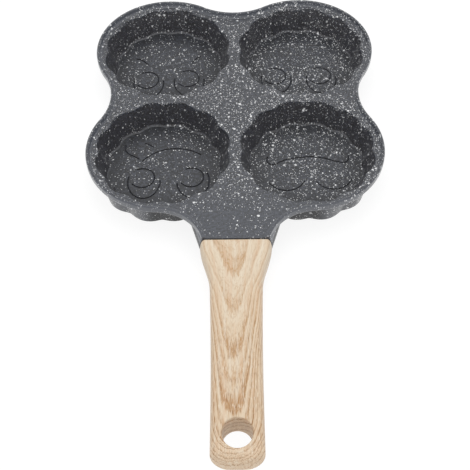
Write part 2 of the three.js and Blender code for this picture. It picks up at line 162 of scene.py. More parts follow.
# Wood grain of the handle, in mm from the seam: where each arch has its tip, how far its dark wood fades
# inwards, how dark it is and how pale the wood outside it
GRAIN_ARCHES = (
    (28, 19, 0.9, 0.35), (56, 15, 0.75, 0.35), (86, 14, 1.1, 0.35), (104, 9, 0.6, 0.35),
    (122, 20, 1.25, 0.35), (136, 7, 0.8, 0.1), (149, 8, 1.0, 0.1), (161, 7, 0.5, 0.1), (177, 9, 1.0, 0.1),
    (196, 9, 0.6, 0.1), (209, 8, 0.9, 0.1), (226, 8, 0.7, 0.1), (246, 9, 1.0, 0.1), (268, 10, 0.8, 0.1),
    (296, 12, 1.0, 0.1),
)
GRAIN_MIDDLE = -1.8
GRAIN_START = 55
GRAIN_SLOPE = 0.09
GRAIN_BLUNT = 2.5
GRAIN_LINE_SPACING = 6
GRAIN_DEPTH_SLOPE = 4.4
GRAIN_CROWD_START = 134
GRAIN_CROWDING = 0.25

# White specks of the coating: cell that holds one, smallest and largest radius, share of the cells with one
SPECKS = ((3.6, 0.5, 1.0, 0.52), (1.5, 0.28, 0.54, 0.48), (1.0, 0.22, 0.38, 0.48), (0.7, 0.13, 0.24, 0.32))

# Coating: noise scales per metre, normals by their upward share, and where parts of the body fade over
CLUMP_NOISE = 45
MOTTLE_NOISE = 900
RAGGED_NOISE = 1100
RAGGED_REACH = 1.2
STEEP_NORMAL = (0.97, 0.7)
FLAT_NORMAL = (0.95, 0.99)
WALL_LEAN = 0.27
EDGE_FADE = 0.5
MIDDLE_FADE = (10, -10)
NECK_FADE = (-72, -104)

# Depth of the fine relief
COATING_RELIEF = 0.08
WOOD_RELIEF = 0.08
BRUSHED_RELIEF = 0.05
PLATED_RELIEF = 0.03

# Colours, 0 to 255. WOOD_PALE and WOOD_WARM are pairs of light and dark wood
COATING_DARK = (9, 12, 18)
COATING_GREY = (62, 66, 77)
# Painted light on the rim's outer face and the neck's flanks
COATING_LIT = (84, 88, 97)
CUP_WALL_GREY = (86, 82, 82)
# Painted shade on the cup floors near their walls
FLOOR_EDGE_SHADE = (10, 12, 17)
# Painted shade on the cups' outer walls beside the neck
NECK_SHADE_DARK = (16, 18, 24)
SPECK_WHITE = (248, 249, 250)
WOOD_PALE = ((231, 214, 189), (192, 149, 100))
WOOD_WARM = ((225, 201, 170), (182, 136, 86))
WOOD_PINK = (220, 184, 150)
WOOD_CREAM = (236, 225, 208)
WOOD_END = (240, 215, 186)
# Painted shade below the handle's top
WOOD_SHADE_GREY = (208, 196, 180)
WOOD_LINE = (148, 110, 76)
WOOD_PORE = (152, 112, 78)
WOOD_FLECK = (238, 226, 205)
PLATE_STEEL = (206, 206, 208)
FASTENER_STEEL = (202, 204, 208)
SPRING_STEEL = (168, 170, 174)

# Floor and light: white levels as shares, power in watts
FLOOR_REACH = 4000
FLOOR_WHITE = 0.92
FLOOR_SEEN = 0.2
FLOOR_LIFT = 0.86
WORLD_FILL = 0.78
KEY_HEIGHT = 1100
KEY_BACK = 220
KEY_SIZE = 750
KEY_POWER = 3.0

# Camera: the pixels say where the pan's middle lies from the middle of the photograph
CAMERA_ELEVATION = radians(45.14)
CAMERA_DISTANCE = 652.3
CAMERA_AIM_Z = 22.5
CAMERA_YAW = radians(-0.20)
CAMERA_ROLL = radians(-0.79)
SENSOR_WIDTH = 36
IMAGE_SIDE = 470
FOCAL_PIXELS = 970.6
MIDDLE_RIGHT_PIXELS = 1.5
MIDDLE_DOWN_PIXELS = -139.8

# Gaps between pieces, overlap of tools with what they carve, and the skins' inset from the solids
CLEARANCE = 0.3
OVERLAP = 1
SKIN_INSET = 0.05
SEAM_GAP = 0.2

# Fineness
CUP_SEGMENTS = FLUTE_COUNT * 24
OUTLINE_STEP = 1.2
ROUND_STEPS = 6
SECTION_STEPS = 12
NECK_STATIONS = 32
SHOULDER_STATIONS = 24
GRIP_STATION_LENGTH = 3
END_STATIONS = 24
ROD_SEGMENTS = 96
BEND_GRID = 3
GROOVE_STEP = 0.6
WELD_DIGITS = 5
CDT_INSIDE_WITH_HOLES = 2
CDT_EPSILON = 1e-5
SHARP_ANGLE = radians(34)

# Places worked out from the sizes
CUP_OFFSET = CUP_RADIUS + BRIDGE_WIDTH / 2
LOBE_RADIUS = CUP_RADIUS + LEDGE_WIDTH + LIP_WIDTH - SKIN_INSET
CAST_BASE_Z = BASE_PLATE_PROUD
FLOOR_Z = CAST_BASE_Z + CUP_FLOOR_THICKNESS
DECK_Z = FLOOR_Z + CUP_DEPTH
RIM_Z = DECK_Z + LIP_HEIGHT
FLANGE_Z = DECK_Z - DECK_THICKNESS
CUP_FLOOR_RADIUS = CUP_RADIUS - CUP_DEPTH * tan(CUP_DRAFT)
CUP_BASE_RADIUS = CUP_FLOOR_RADIUS + CUP_BASE_WALL
PAN_REACH = CUP_OFFSET + LOBE_RADIUS + SKIN_INSET
SEAM_Y = -PAN_REACH - NECK_LENGTH
NECK_START_Y = SEAM_Y + NECK_RISE_LENGTH
NECK_ARC_RADIUS = NECK_RISE_LENGTH / sin(HANDLE_TILT)
NECK_ARC_LENGTH = NECK_ARC_RADIUS * HANDLE_TILT
TANG_TOP_Z = -HANDLE_TOP_WALL - CLEARANCE
TANG_MIDDLE_Z = TANG_TOP_Z - TANG_THICKNESS / 2
TANG_LENGTH = SCREW_SETBACK + TANG_END_MARGIN
SCREW_SEAT_Z = TANG_TOP_Z - TANG_THICKNESS - CLEARANCE - HANDLE_FLOOR_WALL
SCREW_Y = -CLEARANCE - SCREW_SETBACK
HANDLE_REACH = HANDLE_LENGTH - 2 * SKIN_INSET
HANG_HOLE_Y = -(HANDLE_LENGTH - HANG_HOLE_END_WALL - HANG_HOLE_LENGTH / 2)

plate_boxes = [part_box(f"base_plate_{name}") for name in CUP_NAMES]
plate_middles = [(low + high) / 2 for low, high in plate_boxes]
pan_middle = sum(plate_middles, Vector()) / len(plate_middles)
BASE_PLATE_RADIUS = (plate_boxes[0][1].x - plate_boxes[0][0].x) / 2 / MM
CUPS = [((middle - pan_middle) / MM).xy for middle in plate_middles]


def to_row(point):
    """A point of the pan's frame, in millimetres, in the row frame, in metres."""
    return Vector((pan_middle.x + point[0] * MM, pan_middle.y + point[1] * MM, point[2] * MM))


def link(name, data):
    """A new object in the scene."""
    item = bpy.data.objects.new(name, data)
    bpy.context.scene.collection.objects.link(item)
    return item


class Skin:
    """The points and faces of one closed surface. Equal points share a vertex."""

    def __init__(self):
        self.points = []
        self.faces = []
        self.known = {}

    def corner(self, point):
        key = tuple(round(value, WELD_DIGITS) for value in point)
        if key not in self.known:
            self.known[key] = len(self.points)
            self.points.append(point)
        return self.known[key]

    def face(self, points):
        corners = list(dict.fromkeys(self.corner(point) for point in points))
        if len(corners) > 2:
            self.faces.append(corners)

    def strips(self, rows, closed=True):
        for row, next_row in zip(rows, rows[1:]):
            for i in range(len(row) if closed else len(row) - 1):
                j = (i + 1) % len(row)
                self.face((row[i], row[j], next_row[j], next_row[i]))

    def fill(self, loop, holes=(), inner=()):
        """Triangles inside a loop and outside its holes, laid out as seen from above."""
        rings = [loop, *holes]
        points = [point for ring in rings for point in ring] + list(inner)
        number = count()
        ring_corners = [[next(number) for _ in ring] for ring in rings]
        flat = [Vector(point[:2]) for point in points]
        result = delaunay_2d_cdt(flat, [], ring_corners, CDT_INSIDE_WITH_HOLES, CDT_EPSILON)
        triangles, origins = result[2], result[3]
        for triangle in triangles:
            self.face([points[origins[corner][0]] for corner in triangle])

    def loft(self, rings):
        self.strips(rings)
        self.face(rings[0])
        self.face(rings[-1])
        return self

    def object(self, name):
        mesh = bpy.data.meshes.new(name)
        mesh.from_pydata([to_row(point) for point in self.points], [], self.faces)
        edit = bmesh.new()
        edit.from_mesh(mesh)
        bmesh.ops.recalc_face_normals(edit, faces=edit.faces)
        edit.to_mesh(mesh)
        edit.free()
        return link(name, mesh)


def carve(piece, operation, tool):
    """Joins a tool to a piece or cuts it away, and drops the tool."""
    modifier = piece.modifiers.new(operation, "BOOLEAN")
    modifier.operation = operation
    modifier.solver = "MANIFOLD"
    modifier.object = tool
    evaluated = piece.evaluated_get(bpy.context.evaluated_depsgraph_get())
    carved = bpy.data.meshes.new_from_object(evaluated)
    old_meshes = [piece.data, tool.data]
    piece.modifiers.clear()
    piece.data = carved
    bpy.data.objects.remove(tool)
    for mesh in old_meshes:
        bpy.data.meshes.remove(mesh)
    carved.name = piece.name


def smooth(piece):
    """Smooth shading with sharp edges kept, and flat faces that stay flat up to their rounds."""
    piece.data.shade_smooth()
    piece.data.set_sharp_from_angle(angle=SHARP_ANGLE)
    modifier = piece.modifiers.new("normals", "WEIGHTED_NORMAL")
    modifier.keep_sharp = True


def spread(start, end, steps):
    """Numbers from a start to an end in equal steps."""
    return [start + (end - start) * i / steps for i in range(steps + 1)]


def arc(x, y, radius, start, end, steps):
    """Points along an arc between two angles in degrees."""
    angles = [radians(angle) for angle in spread(start, end, steps)]
    return [(x + radius * cos(angle), y + radius * sin(angle)) for angle in angles]


def clamp(value, low=0.0, high=1.0):
    return max(low, min(high, value))


# Pan body


def neck_line(distance):
    """A place on the neck's top line, by its distance from where the neck starts to rise: y, z and slope."""
    turn = clamp(distance / NECK_ARC_RADIUS, 0, HANDLE_TILT)
    before = min(distance, 0)
    beyond = max(distance - NECK_ARC_LENGTH, 0)
    y = NECK_START_Y - before - NECK_ARC_RADIUS * sin(turn) - beyond * cos(turn)
    z = DECK_Z + NECK_ARC_RADIUS * (1 - cos(turn)) + beyond * sin(turn)
    return y, z, turn


def deck(y):
    """Height of the deck: level over the cups, rising along the neck."""
    run = max(NECK_START_Y - y, 0)
    if run < NECK_RISE_LENGTH:
        return DECK_Z + NECK_ARC_RADIUS - sqrt(NECK_ARC_RADIUS ** 2 - run ** 2)
    return neck_line(NECK_ARC_LENGTH)[1] + (run - NECK_RISE_LENGTH) * tan(HANDLE_TILT)


def outline_arc(x, y, radius, start, end, inward):
    """Stretch of the outline with its unit normals: inward is 1 where the hollow side is outside."""
    steps = ceil(radians(abs(end - start)) * radius / OUTLINE_STEP)
    points = arc(x, y, radius, start, end, steps)
    return [(px, py, inward * (px - x) / radius, inward * (py - y) / radius) for px, py in points]


def outline():
    """The deck's edge from the right of the neck round the cups to the left of it: x, y and inward normal."""
    waist_reach = CUP_OFFSET + sqrt((LOBE_RADIUS + WAIST_RADIUS) ** 2 - CUP_OFFSET ** 2)
    waist_angle = degrees(atan2(CUP_OFFSET, waist_reach - CUP_OFFSET))
    fillet_x = NECK_TOP_WIDTH / 2 + NECK_FILLET_RADIUS
    fillet_rise = sqrt((LOBE_RADIUS + NECK_FILLET_RADIUS) ** 2 - (CUP_OFFSET - fillet_x) ** 2)
    fillet_y = -CUP_OFFSET - fillet_rise
    fillet_angle = degrees(atan2(fillet_rise, CUP_OFFSET - fillet_x))
    right = [
        (NECK_TOP_WIDTH / 2, fillet_y - NECK_OVERRUN, -1, 0),
        *outline_arc(fillet_x, fillet_y, NECK_FILLET_RADIUS, 180, fillet_angle, 1),
        *outline_arc(CUP_OFFSET, -CUP_OFFSET, LOBE_RADIUS, fillet_angle - 180, waist_angle, -1)[1:],
        *outline_arc(waist_reach, 0, WAIST_RADIUS, 180 + waist_angle, 180 - waist_angle, 1)[1:],
        *outline_arc(CUP_OFFSET, CUP_OFFSET, LOBE_RADIUS, -waist_angle, 90 + waist_angle, -1)[1:],
        *outline_arc(0, waist_reach, WAIST_RADIUS, waist_angle - 90, -90, 1)[1:],
    ]
    left = [(-x, y, -nx, ny) for x, y, nx, ny in reversed(right[:-1])]
    return right + left


def rim_rows():
    """Rows of points along the rim: up the inside of the lip, over its top and down the outer face."""
    lean = degrees(LIP_LEAN)
    rounds = LIP_FOOT_FILLET + LIP_CROWN_ROUND
    straight = LIP_HEIGHT - rounds * (1 - sin(LIP_LEAN))
    foot_inset = RIM_ROUND + rounds * cos(LIP_LEAN) + straight * tan(LIP_LEAN)
    foot = arc(foot_inset, LIP_FOOT_FILLET, LIP_FOOT_FILLET, 270, 180 + lean, ROUND_STEPS)
    crown = arc(RIM_ROUND, LIP_HEIGHT - LIP_CROWN_ROUND, LIP_CROWN_ROUND, lean, 90, ROUND_STEPS)
    shoulder = arc(RIM_ROUND, RIM_Z - RIM_ROUND, RIM_ROUND, 90, 180, ROUND_STEPS)
    hem = arc(HEM_ROUND, FLANGE_Z + HEM_ROUND, HEM_ROUND, 180, 270, ROUND_STEPS)
    edge = outline()
    rows = []
    for inset, rise in foot + crown:
        row = []
        for x, y, nx, ny in edge:
            py = y + inset * ny
            low = deck(py)
            row.append((x + inset * nx, py, low + (RIM_Z - low) * rise / LIP_HEIGHT))
        rows.append(row)
    for inset, z in shoulder + hem:
        rows.append([(x + inset * nx, y + inset * ny, z) for x, y, nx, ny in edge])
    return rows


def flute(angle):
    """Swell of a cup's radius at an angle: bulges with a soft crease between two of them."""
    crest = hypot(1, FLUTE_CREASE) - FLUTE_CREASE
    swell = (hypot(sin(FLUTE_COUNT * angle / 2), FLUTE_CREASE) - FLUTE_CREASE) / crest
    return 1 + FLUTE_DEPTH / CUP_RADIUS * (2 * swell - 1)


def cup_row(cup, radius, z, fluted=True, rising=False):
    """A ring of points round a cup's axis. A rising ring follows the deck where the neck lifts it."""
    row = []
    for angle in spread(0, 2 * pi, CUP_SEGMENTS)[:-1]:
        reach = radius * flute(angle) if fluted else radius
        y = cup.y + reach * sin(angle)
        lift = (deck(y) - DECK_Z) * clamp((z - FLOOR_Z) / CUP_DEPTH) if rising else 0
        row.append((cup.x + reach * cos(angle), y, z + lift))
    return row


def drafted_wall(draft, top_radius, top_z, top_round, base_radius, base_z, base_round):
    """Radius and z points down a drafted wall with round corners."""
    half_turn = tan((pi / 2 - draft) / 2)
    lean = degrees(draft)
    top = arc(top_radius + top_round * half_turn, top_z - top_round, top_round, 90, 180 - lean, ROUND_STEPS)
    base = arc(base_radius - base_round * half_turn, base_z + base_round, base_round, -lean, -90, ROUND_STEPS)
    return top + base


def cup_inside(cup):
    """Rings from a cup's mouth down to its floor."""
    profile = drafted_wall(CUP_DRAFT, CUP_RADIUS, DECK_Z, CUP_MOUTH_ROUND,
                           CUP_FLOOR_RADIUS, FLOOR_Z, CUP_FLOOR_FILLET)
    return [cup_row(cup, radius, z, rising=True) for radius, z in profile]


def cup_outside(cup):
    """Rings from the deck's underside down the outer wall to the seat of the base plate."""
    root_radius = CUP_BASE_RADIUS + (FLANGE_Z - CAST_BASE_Z) * tan(OUTER_DRAFT)
    profile = drafted_wall(OUTER_DRAFT, root_radius, FLANGE_Z, CUP_ROOT_FILLET,
                           CUP_BASE_RADIUS, CAST_BASE_Z, CUP_BASE_ROUND)
    rings = [cup_row(cup, radius, z) for radius, z in profile]
    for z in (CAST_BASE_Z, BASE_PLATE_THICKNESS + CLEARANCE):
        rings.append(cup_row(cup, BASE_PLATE_RADIUS + CLEARANCE, z, fluted=False))
    return rings


def oval(x, y, radius, start, end, stretch=1):
    """A path along a circle or, stretched in y, along an oval, between two angles in degrees."""
    steps = ceil(radians(abs(end - start)) * radius * stretch / GROOVE_STEP)
    return [(px, y + (py - y) * stretch) for px, py in arc(x, y, radius, start, end, steps)]


def curve(*points):
    """A smooth path through points."""
    knots = [Vector(point) for point in points]
    knots = [2 * knots[0] - knots[1], *knots, 2 * knots[-1] - knots[-2]]
    path = []
    for before, start, end, after in zip(knots, knots[1:], knots[2:], knots[3:]):
        steps = ceil((end - start).length / GROOVE_STEP)
        pull_start, pull_end = (end - before) / 6, (after - start) / 6
        path += interpolate_bezier(start, start + pull_start, end - pull_end, end, steps + 1)[:-1]
    return [tuple(point.xy) for point in [*path, knots[-2]]]


def groove_rows(path, depth):
    """Rows across a groove along a path, from one bank down and up to the other. Both ends run out."""
    steps = [dist(point, after) for point, after in zip(path, path[1:])]
    length = sum(steps)
    rows = [[] for _ in GROOVE_SECTION]
    for i, (x, y) in enumerate(path):
        before, after = path[max(i - 1, 0)], path[min(i + 1, len(path) - 1)]
        run = dist(before, after)
        side = ((before[1] - after[1]) / run, (after[0] - before[0]) / run)
        place = sum(steps[:i])
        to_end = clamp(min(place, length - place) / (2 * GROOVE_HALF_WIDTH))
        taper = sqrt(1 - (1 - to_end) ** 2)
        for row, (across, down) in zip(rows, GROOVE_SECTION):
            reach = across * GROOVE_HALF_WIDTH * taper
            row.append((x + side[0] * reach, y + side[1] * reach, FLOOR_Z - depth * down * taper))
    return rows


def curled_eye(x, y, turn=0):
    """An open circle with an oval ring round it, which may be turned by some degrees."""
    start, end = EYE_RING_ANGLES
    ring = oval(x, y - EYE_RING_DROP, EYE_RING_RADIUS, start + turn, end + turn, EYE_RING_STRETCH)
    return [oval(x - EYE_CURL_SHIFT, y, EYE_RADIUS, *EYE_CURL_ANGLES), ring]


def shut_eye(x, y):
    return [oval(x, y, SHUT_EYE_RADIUS, *SHUT_EYE_ANGLES)]


def face_lines(name):
    """Lines of a plain smiling face, from the cup's middle, and its faint lines: one face for each cup."""
    if name == "front_left":
        tongue = [curve((-16.4, 6.6), (-20, 9), (-24, 11.5), (-26.3, 15), (-26.3, 19.5)),
                  curve((-14, 21), (-11, 19.6), (-7.5, 16.9))]
        grin = oval(7, -11.2, GRIN_RADIUS, *GRIN_ANGLES)
        return [*curled_eye(-12.8, -9.3, -6), *curled_eye(18.9, -9.2, 20), grin, *tongue], []
    if name == "front_right":
        grin = curve((-24.7, 8), (-25.6, 4.5), (-23.4, 1), (-20, 1.5), (-12, 5.4), (0, 7.3),
                     (10, 6.6), (19, 3.5), (24.6, 2.2), (27.6, 4), (28.5, 8.5))
        return [*shut_eye(-13.3, -8.5), *shut_eye(17, -7.7), grin], []
    if name == "rear_left":
        dimples = [curve((-24.5, 9.8), (-19.5, 7.8), (-14.5, 2.8)), curve((16, 3.8), (18.2, 8), (23.5, 12.3))]
        smile = curve((-12.5, 8.3), (1, 11), (14.5, 8.8))
        return [*curled_eye(-13.8, -12.2), *curled_eye(14.5, -11), *dimples], [smile]
    smile = curve((-24.6, 14.2), (-23, 12.6), (-17.5, 15.7), (-8, 20), (3, 21.8), (13, 20.2), (21, 16))
    return [*curled_eye(-17, -9.5), *curled_eye(14.5, -9.5)], [smile]


def cup_floor(skin, name, cup, edge):
    """A cup's floor inside its edge, with the grooves of its face."""
    banks = []
    for depth, paths in zip((GROOVE_DEPTH, FAINT_GROOVE_DEPTH), face_lines(name)):
        for path in paths:
            rows = groove_rows([(cup.x + x, cup.y + y) for x, y in path], depth)
            skin.strips(rows, closed=False)
            banks.append(rows[0] + rows[-1][-2:0:-1])
    skin.fill(edge, banks)


def bend_points(boundary):
    """Points inside the stretch of deck that rises along the neck, clear of the deck's boundary."""
    edge = [point[:2] for point in boundary]
    low = min(y for x, y in edge)
    columns = floor(CUP_OFFSET / BEND_GRID)
    points = []
    for j in range(floor((NECK_START_Y - low) / BEND_GRID) + 2):
        y = NECK_START_Y + BEND_GRID - BEND_GRID * j
        for i in range(-columns, columns + 1):
            place = (i * BEND_GRID, y)
            if min(dist(place, point) for point in edge) > BEND_GRID / 2:
                points.append((*place, deck(y)))
    return points


def cast_shell():
    """The deck with its rim and cups, with the neck's top still too long and nothing under it."""
    skin = Skin()
    rows = rim_rows()
    skin.strips(rows, closed=False)
    skin.face([row[0] for row in rows] + [row[-1] for row in reversed(rows)])
    insides = [cup_inside(cup) for cup in CUPS]
    outsides = [cup_outside(cup) for cup in CUPS]
    mouths = [rings[0] for rings in insides]
    boundary = rows[0] + [point for mouth in mouths for point in mouth]
    skin.fill(rows[0], mouths, bend_points(boundary))
    skin.fill(rows[-1], [rings[0] for rings in outsides])
    for name, cup, inside, outside in zip(CUP_NAMES, CUPS, insides, outsides):
        skin.strips(inside)
        cup_floor(skin, name, cup, inside[-1])
        skin.strips(outside)
        skin.face(outside[-1])
    return skin.object("pan_body_skin")


def grip_section(half_width, height, top):
    """Cross-section of neck and handle as x and z: flat top and bottom, and round sides."""
    widest = top - WIDEST_SHARE * height
    top_round = min(TOP_EDGE_ROUND, half_width / 2)
    low_round = min(BOTTOM_EDGE_ROUND, half_width / 2)
    rise = top - widest
    drop = height - rise
    angles = spread(0, pi / 2, SECTION_STEPS)
    right = [(half_width - top_round * (1 - sin(a)), widest + rise * cos(a)) for a in angles]
    right += [(half_width - low_round * (1 - cos(a)), widest - drop * sin(a)) for a in angles[1:]]
    return right + [(-x, z) for x, z in reversed(right)]


def neck_ring(before_seam):
    """The neck's section at a distance before the seam: at the seam it is the handle's."""
    y, z, turn = neck_line(NECK_ARC_LENGTH - before_seam)
    half_width = HANDLE_FRONT_WIDTH / 2 + NECK_FLARE * before_seam
    thinning = (NECK_ROOT_HEIGHT - HANDLE_FRONT_HEIGHT) * before_seam / NECK_ROOT_LENGTH
    ring = []
    for x, drop in grip_section(half_width, HANDLE_FRONT_HEIGHT + thinning, 0):
        drop = min(drop, -NECK_TOP_DROP)
        ring.append((x, y + drop * sin(turn), z + drop * cos(turn)))
    return ring


def rounded_box(half_x, half_y, corner, middle=(0, 0)):
    x = half_x - corner
    y = half_y - corner
    points = []
    for i, (sx, sy) in enumerate(SQUARE):
        points += arc(middle[0] + sx * x, middle[1] + sy * y, corner, 90 * i, 90 * i + 90, ROUND_STEPS)
    return points


def neck_pocket():
    """The hollow under the neck, round at its inner edge."""
    middle = (0, SEAM_Y + NECK_END_WALL + NECK_POCKET_LENGTH / 2)
    roof = DECK_Z - NECK_POCKET_ROOF
    edge = NECK_POCKET_ROUND / 2
    profile = [(0, -OVERLAP), *((edge - x, z) for x, z in arc(0, roof - edge, edge, 0, 90, ROUND_STEPS))]
    rings = []
    for inset, z in profile:
        ring = rounded_box(NECK_POCKET_WIDTH / 2 - inset, NECK_POCKET_LENGTH / 2 - inset,
                           NECK_POCKET_ROUND - inset, middle)
        rings.append([(x, y, z) for x, y in ring])
    return Skin().loft(rings).object("neck_pocket")


def cup_core(cup):
    """A plain cone that runs inside a cup's wall, to keep the neck out of the cup."""
    share = (CUP_BASE_WALL / 2 + FLUTE_DEPTH / 4) / CUP_BASE_WALL
    rings = []
    for z in (-OVERLAP, RIM_Z + OVERLAP):
        inner = CUP_FLOOR_RADIUS + (z - FLOOR_Z) * tan(CUP_DRAFT)
        outer = CUP_BASE_RADIUS + (z - CAST_BASE_Z) * tan(OUTER_DRAFT)
        rings.append(cup_row(cup, inner + (outer - inner) * share, z, fluted=False))
    return Skin().loft(rings).object("cup_core")


def to_pan(point):
    """A point of the handle's own frame in the pan's frame."""
    x, y, z = point
    seam_y, seam_z, turn = neck_line(NECK_ARC_LENGTH)
    pan_y = seam_y + y * cos(turn) + z * sin(turn)
    pan_z = seam_z - y * sin(turn) + z * cos(turn)
    return (x, pan_y, pan_z)


def handle_solid(rings, name):
    """A solid through rings of points of the handle's frame."""
    return Skin().loft([[to_pan(point) for point in ring] for ring in rings]).object(name)


def bar(width, thickness, corner, middle_z, y_from, y_to, name):
    """A bar with round edges along the handle."""
    section = rounded_box(width / 2, thickness / 2, corner, (0, middle_z))
    return handle_solid([[(x, y, z) for x, z in section] for y in (y_from, y_to)], name)


def rod(profile, name, y, stretch=1):
    """A turned shape across the handle, from radius and z points."""
    rings = []
    for radius, z in profile:
        circle = arc(0, 0, radius, 0, 360, ROD_SEGMENTS)[:-1]
        rings.append([(px, y + py * stretch, z) for px, py in circle])
    return handle_solid(rings, name)


def beyond_seam():
    """Everything on the handle's side of the seam."""
    rings = [[(x * PAN_REACH, y, z * PAN_REACH) for x, z in SQUARE] for y in (SEAM_GAP, -PAN_REACH)]
    return handle_solid(rings, "beyond_seam")


def make_pan_body():
    """The casting: shell and neck in one, cut at the seam, with the tang and its screw hole."""
    rings = [neck_ring(before_seam) for before_seam in spread(NECK_ROOT_LENGTH, -OVERLAP, NECK_STATIONS)]
    neck = Skin().loft(rings).object("neck")
    carve(neck, "DIFFERENCE", neck_pocket())
    for cup in CUPS[:2]:
        carve(neck, "DIFFERENCE", cup_core(cup))
    body = cast_shell()
    carve(body, "UNION", neck)
    carve(body, "DIFFERENCE", beyond_seam())
    tang = bar(TANG_WIDTH, TANG_THICKNESS, TANG_ROUND, TANG_MIDDLE_Z,
               TANG_ROOT_DEPTH, -CLEARANCE - TANG_LENGTH, "tang")
    hole_ends = (TANG_TOP_Z - 2 * TANG_THICKNESS, TANG_TOP_Z + OVERLAP)
    hole = [(SCREW_DIAMETER / 2 + CLEARANCE, z) for z in hole_ends]
    carve(body, "UNION", tang)
    carve(body, "DIFFERENCE", rod(hole, "thread_hole", SCREW_Y))
    smooth(body)
    return body


# Handle


def handle_half_width(distance):
    """Half the handle's width: a shoulder that fades into a grip with a slim waist."""
    swell = (GRIP_START_WIDTH - GRIP_WIDTH) / 2

    def grip_half(place):
        before_waist = max(GRIP_WAIST_PLACE - place, 0)
        return GRIP_WIDTH / 2 + swell * (before_waist / (GRIP_WAIST_PLACE - SHOULDER_LENGTH)) ** 2

    shoulder = HANDLE_FRONT_WIDTH / 2 - grip_half(0)
    fade = (1 + cos(pi * min(distance / SHOULDER_LENGTH, 1))) / 2
    return grip_half(distance) + shoulder * fade


def handle_height(distance):
    left = max(1 - max(distance - HANDLE_TAPER_START, 0) / HANDLE_TAPER_LENGTH, 0)
    return HANDLE_END_HEIGHT + (HANDLE_FRONT_HEIGHT - HANDLE_END_HEIGHT) * left ** 2


def round_end(distance, length):
    """How much of a size is left inside the handle's round end."""
    return sqrt(1 - clamp((distance - (HANDLE_REACH - length)) / length) ** 2)


def handle_ring(distance, inset=0):
    """The handle's section at a distance from the seam."""
    full_height = handle_height(distance) - SKIN_INSET
    half_width = handle_half_width(distance) * round_end(distance, HANDLE_END_ROUND) - inset
    height = full_height * round_end(distance, HANDLE_NOSE_ROUND) - 2 * inset
    top = -WIDEST_SHARE * (full_height - height) - SKIN_INSET
    return [to_pan((x, -distance, z)) for x, z in grip_section(half_width, height, top)]


def make_handle():
    rings = []
    for angle in spread(0, pi / 2, ROUND_STEPS)[:-1]:
        rings.append(handle_ring(CLEARANCE + HANDLE_FRONT_ROUND * (1 - cos(angle)),
                                 HANDLE_FRONT_ROUND * (1 - sin(angle))))
    grip_end = HANDLE_REACH - HANDLE_END_ROUND
    grip_stations = ceil((grip_end - SHOULDER_LENGTH) / GRIP_STATION_LENGTH)
    stations = spread(CLEARANCE + HANDLE_FRONT_ROUND, SHOULDER_LENGTH, SHOULDER_STATIONS)
    stations += spread(SHOULDER_LENGTH, grip_end, grip_stations)[1:]
    for angle in spread(0, pi / 2, END_STATIONS)[1:-1]:
        stations.append(HANDLE_REACH - HANDLE_END_ROUND * (1 - sin(angle)))
    rings += [handle_ring(distance) for distance in stations]
    handle = Skin().loft(rings).object("handle_skin")
    socket = bar(TANG_WIDTH + 2 * CLEARANCE, TANG_THICKNESS + 2 * CLEARANCE, TANG_ROUND + CLEARANCE,
                 TANG_MIDDLE_Z, OVERLAP, -TANG_LENGTH - 2 * CLEARANCE, "socket")
    carve(handle, "DIFFERENCE", socket)
    shank = [(SCREW_DIAMETER / 2 + CLEARANCE, z) for z in (SCREW_SEAT_Z - OVERLAP, TANG_MIDDLE_Z)]
    carve(handle, "DIFFERENCE", rod(shank, "shank_hole", SCREW_Y))
    well = [(WASHER_DIAMETER / 2 + CLEARANCE, z) for z in (-HANDLE_FRONT_HEIGHT - OVERLAP, SCREW_SEAT_Z)]
    carve(handle, "DIFFERENCE", rod(well, "head_well", SCREW_Y))
    carve(handle, "DIFFERENCE", hang_hole())
    smooth(handle)
    return handle


def hang_hole():
    """The hole at the handle's end, oval and flared at both faces."""
    radius = HANG_HOLE_WIDTH / 2
    flared = radius + HANG_HOLE_FLARE
    bottom = -handle_height(-HANG_HOLE_Y)
    profile = [
        (flared, bottom - OVERLAP),
        *arc(flared, bottom + HANG_HOLE_FLARE, HANG_HOLE_FLARE, 270, 180, ROUND_STEPS),
        *arc(flared, -HANG_HOLE_FLARE, HANG_HOLE_FLARE, 180, 90, ROUND_STEPS),
        (flared, OVERLAP),
    ]
    return rod(profile, "hang_hole", HANG_HOLE_Y, HANG_HOLE_LENGTH / HANG_HOLE_WIDTH)


# Materials


def by_node(operation):
    """A method of a Value that adds a math node."""
    def method(self, *others):
        return self.graph.math(operation, self, *others)
    return method


class Value:
    """A node's output, so that sums and products can be written as such."""

    __add__ = __radd__ = by_node("ADD")
    __sub__ = by_node("SUBTRACT")
    __mul__ = __rmul__ = by_node("MULTIPLY")
    __truediv__ = by_node("DIVIDE")
    __pow__ = by_node("POWER")
    __lt__ = by_node("LESS_THAN")
    __abs__ = by_node("ABSOLUTE")

    def __init__(self, graph, socket):
        self.graph = graph
        self.socket = socket

    def __rsub__(self, other):
        return self.graph.math("SUBTRACT", other, self)

    def between(self, start, end, low=0.0, high=1.0, soft=True):
        """The way through a span, as a number from low at its start to high at its end."""
        names = ("Value", "From Min", "From Max", "To Min", "To Max")
        kind = "SMOOTHSTEP" if soft else "LINEAR"
        return self.graph.value("ShaderNodeMapRange", zip(names, (self, start, end, low, high)),
                                interpolation_type=kind)

    def band(self, start, peak, stop):
        """1 at a peak, fading to 0 at a start and a stop."""
        return self.between(start, peak) * self.between(stop, peak)


def most(*values):
    """The highest of some values, of which the first is a node's."""
    return reduce(lambda highest, value: highest.graph.math("MAXIMUM", highest, value), values)


